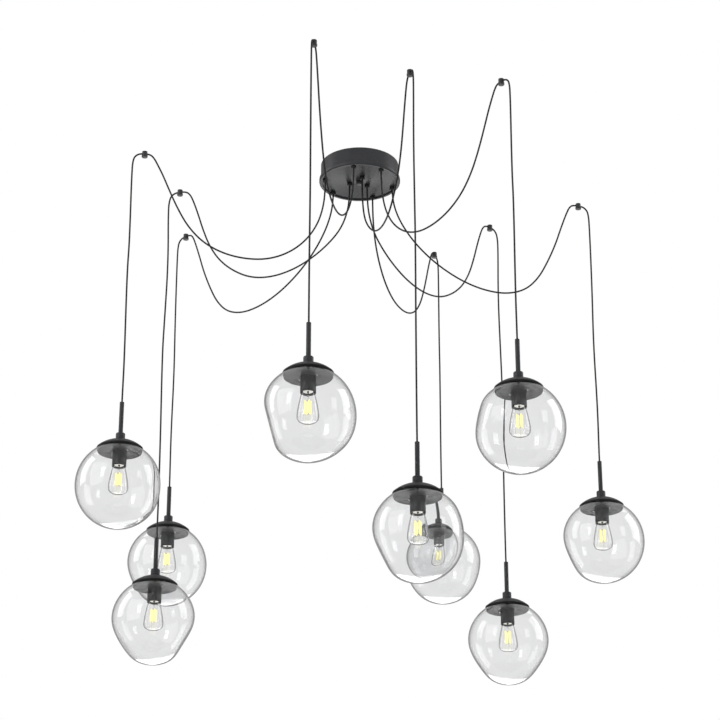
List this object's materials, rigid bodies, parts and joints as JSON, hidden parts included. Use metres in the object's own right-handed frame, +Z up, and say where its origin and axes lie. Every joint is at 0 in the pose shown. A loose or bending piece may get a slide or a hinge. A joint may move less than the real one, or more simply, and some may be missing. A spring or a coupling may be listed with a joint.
{
  "type": "cluster pendant",
  "caption": "Ceiling canopy whose cords swag to ceiling hooks and drop to pendants: stem, collar, dome cap and softly dented clear glass globe with a filament bulb.",
  "frame": {"origin": "centre of the canopy in the ceiling plane, between the crossbar's two slots", "axes": "+Z up into the ceiling, +X to the right of a viewer who stands at -Y, as in the picture"},
  "size_m": [1.6744, 1.6658, 1.5388],
  "materials": {
    "canopy_metal": "satin graphite coating",
    "pendant_metal": "satin graphite coating",
    "bracket_steel": "zinc-plated",
    "grip_plastic": "matte black",
    "cord_black": "smooth black jacket",
    "globe_glass": "clear blown glass",
    "bulb_glass": "clear thin glass"
  },
  "bodies": {
    "ceiling_frame": {"canopy_pan": "canopy_metal", "crossbar": "bracket_steel", "canopy_fixings": "canopy_metal", "cord_grips": "grip_plastic", "hook_bases": "canopy_metal", "hook_caps": "canopy_metal", "swag_cord_1": "cord_black", "swag_cord_2": "cord_black", "swag_cord_3": "cord_black", "swag_cord_4": "cord_black", "swag_cord_5": "cord_black", "swag_cord_6": "cord_black", "swag_cord_7": "cord_black", "swag_cord_8": "cord_black", "swag_cord_9": "cord_black"},
    "cord_1": {"drop_cord_1": "cord_black"},
    "pendant_1": {"fitter_1": "pendant_metal", "glass_globe_1": "globe_glass", "lampholder_1": "pendant_metal", "bulb_1": "bulb_glass"},
    "cord_2": {"drop_cord_2": "cord_black"},
    "pendant_2": {"fitter_2": "pendant_metal", "glass_globe_2": "globe_glass", "lampholder_2": "pendant_metal", "bulb_2": "bulb_glass"},
    "cord_3": {"drop_cord_3": "cord_black"},
    "pendant_3": {"fitter_3": "pendant_metal", "glass_globe_3": "globe_glass", "lampholder_3": "pendant_metal", "bulb_3": "bulb_glass"},
    "cord_4": {"drop_cord_4": "cord_black"},
    "pendant_4": {"fitter_4": "pendant_metal", "glass_globe_4": "globe_glass", "lampholder_4": "pendant_metal", "bulb_4": "bulb_glass"},
    "cord_5": {"drop_cord_5": "cord_black"},
    "pendant_5": {"fitter_5": "pendant_metal", "glass_globe_5": "globe_glass", "lampholder_5": "pendant_metal", "bulb_5": "bulb_glass"},
    "cord_6": {"drop_cord_6": "cord_black"},
    "pendant_6": {"fitter_6": "pendant_metal", "glass_globe_6": "globe_glass", "lampholder_6": "pendant_metal", "bulb_6": "bulb_glass"},
    "cord_7": {"drop_cord_7": "cord_black"},
    "pendant_7": {"fitter_7": "pendant_metal", "glass_globe_7": "globe_glass", "lampholder_7": "pendant_metal", "bulb_7": "bulb_glass"},
    "cord_8": {"drop_cord_8": "cord_black"},
    "pendant_8": {"fitter_8": "pendant_metal", "glass_globe_8": "globe_glass", "lampholder_8": "pendant_metal", "bulb_8": "bulb_glass"},
    "cord_9": {"drop_cord_9": "cord_black"},
    "pendant_9": {"fitter_9": "pendant_metal", "glass_globe_9": "globe_glass", "lampholder_9": "pendant_metal", "bulb_9": "bulb_glass"}
  },
  "joints": [
    {"name": "swing_1", "type": "hinge", "parent": "ceiling_frame", "child": "cord_1", "pos_m": [0.70199, 0.25828, -0.007], "axis": [0.9385, 0.3453, 0], "range_deg": [-8, 8]},
    {"name": "twist_1", "type": "hinge", "parent": "cord_1", "child": "pendant_1", "pos_m": [0.7339, 0.27002, -0.878], "axis": [0, 0, 1], "range_deg": [-180, 180]},
    {"name": "swing_2", "type": "hinge", "parent": "ceiling_frame", "child": "cord_2", "pos_m": [0.42657, 0.41193, -0.007], "axis": [0.7193, 0.6947, 0], "range_deg": [-8, 8]},
    {"name": "twist_2", "type": "hinge", "parent": "cord_2", "child": "pendant_2", "pos_m": [0.45103, 0.43555, -1.147], "axis": [0, 0, 1], "range_deg": [-180, 180]},
    {"name": "swing_3", "type": "hinge", "parent": "ceiling_frame", "child": "cord_3", "pos_m": [0.25126, 0.6157, -0.007], "axis": [0.3778, 0.9259, 0], "range_deg": [-8, 8]},
    {"name": "twist_3", "type": "hinge", "parent": "cord_3", "child": "pendant_3", "pos_m": [0.26411, 0.64718, -0.83], "axis": [0, 0, 1], "range_deg": [-180, 180]},
    {"name": "swing_4", "type": "hinge", "parent": "ceiling_frame", "child": "cord_4", "pos_m": [-0.57468, 0.4788, -0.007], "axis": [-0.7683, 0.6401, 0], "range_deg": [-8, 8]},
    {"name": "twist_4", "type": "hinge", "parent": "cord_4", "child": "pendant_4", "pos_m": [-0.6008, 0.50057, -0.878], "axis": [0, 0, 1], "range_deg": [-180, 180]},
    {"name": "swing_5", "type": "hinge", "parent": "ceiling_frame", "child": "cord_5", "pos_m": [-0.57003, 0.16345, -0.007], "axis": [-0.9613, 0.2756, 0], "range_deg": [-8, 8]},
    {"name": "twist_5", "type": "hinge", "parent": "cord_5", "child": "pendant_5", "pos_m": [-0.60271, 0.17283, -1.156], "axis": [0, 0, 1], "range_deg": [-180, 180]},
    {"name": "swing_6", "type": "hinge", "parent": "ceiling_frame", "child": "cord_6", "pos_m": [-0.65885, -0.09025, -0.007], "axis": [-0.9907, -0.1357, 0], "range_deg": [-8, 8]},
    {"name": "twist_6", "type": "hinge", "parent": "cord_6", "child": "pendant_6", "pos_m": [-0.69253, -0.09487, -0.83], "axis": [0, 0, 1], "range_deg": [-180, 180]},
    {"name": "swing_7", "type": "hinge", "parent": "ceiling_frame", "child": "cord_7", "pos_m": [-0.12732, -0.73708, -0.007], "axis": [-0.1702, -0.9854, 0], "range_deg": [-8, 8]},
    {"name": "twist_7", "type": "hinge", "parent": "cord_7", "child": "pendant_7", "pos_m": [-0.1331, -0.77059, -0.878], "axis": [0, 0, 1], "range_deg": [-180, 180]},
    {"name": "swing_8", "type": "hinge", "parent": "ceiling_frame", "child": "cord_8", "pos_m": [0.14346, -0.57539, -0.007], "axis": [0.2419, -0.9703, 0], "range_deg": [-8, 8]},
    {"name": "twist_8", "type": "hinge", "parent": "cord_8", "child": "pendant_8", "pos_m": [0.15168, -0.60837, -1.15], "axis": [0, 0, 1], "range_deg": [-180, 180]},
    {"name": "swing_9", "type": "hinge", "parent": "ceiling_frame", "child": "cord_9", "pos_m": [0.40758, -0.52545, -0.007], "axis": [0.6129, -0.7902, 0], "range_deg": [-8, 8]},
    {"name": "twist_9", "type": "hinge", "parent": "cord_9", "child": "pendant_9", "pos_m": [0.42842, -0.55232, -0.83], "axis": [0, 0, 1], "range_deg": [-180, 180]}
  ]
}
